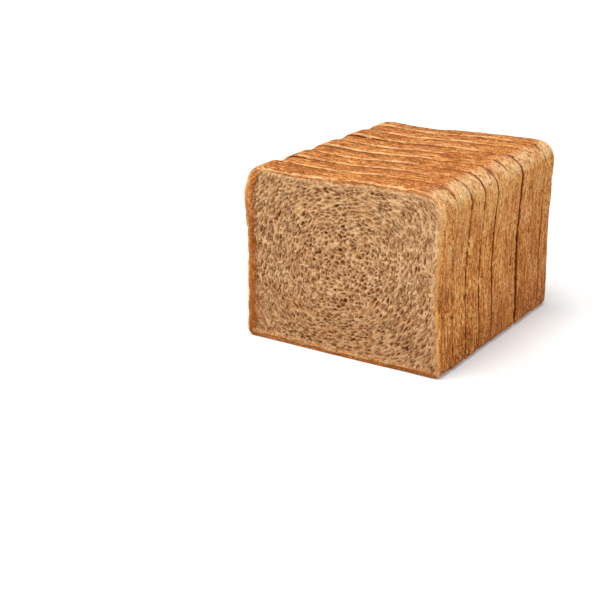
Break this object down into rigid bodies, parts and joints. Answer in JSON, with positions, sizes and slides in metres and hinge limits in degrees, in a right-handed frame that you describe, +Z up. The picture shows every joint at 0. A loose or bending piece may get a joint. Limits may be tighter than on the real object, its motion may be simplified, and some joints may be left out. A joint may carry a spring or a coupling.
{
  "type": "tin loaf",
  "caption": "Sliced wholemeal tin loaf standing as a block on its flat foot, with a bare cut crumb face at the front and a rounded crusty heel at the back.",
  "frame": {"origin": "under the middle of the standing block, on the surface that it stands on", "axes": "+X to the right across the slices, +Y from the bare cut face to the heel, along the loaf, +Z up"},
  "size_m": [0.122, 0.1348, 0.098],
  "materials": {
    "sliced_bread": "matte",
    "heel_bread": "matte"
  },
  "bodies": {
    "root": {"slice_1": "sliced_bread", "slice_2": "sliced_bread", "slice_3": "sliced_bread", "slice_4": "sliced_bread", "slice_5": "sliced_bread", "slice_6": "sliced_bread", "slice_7": "sliced_bread", "slice_8": "sliced_bread", "heel_slice": "heel_bread"}
  },
  "joints": []
}
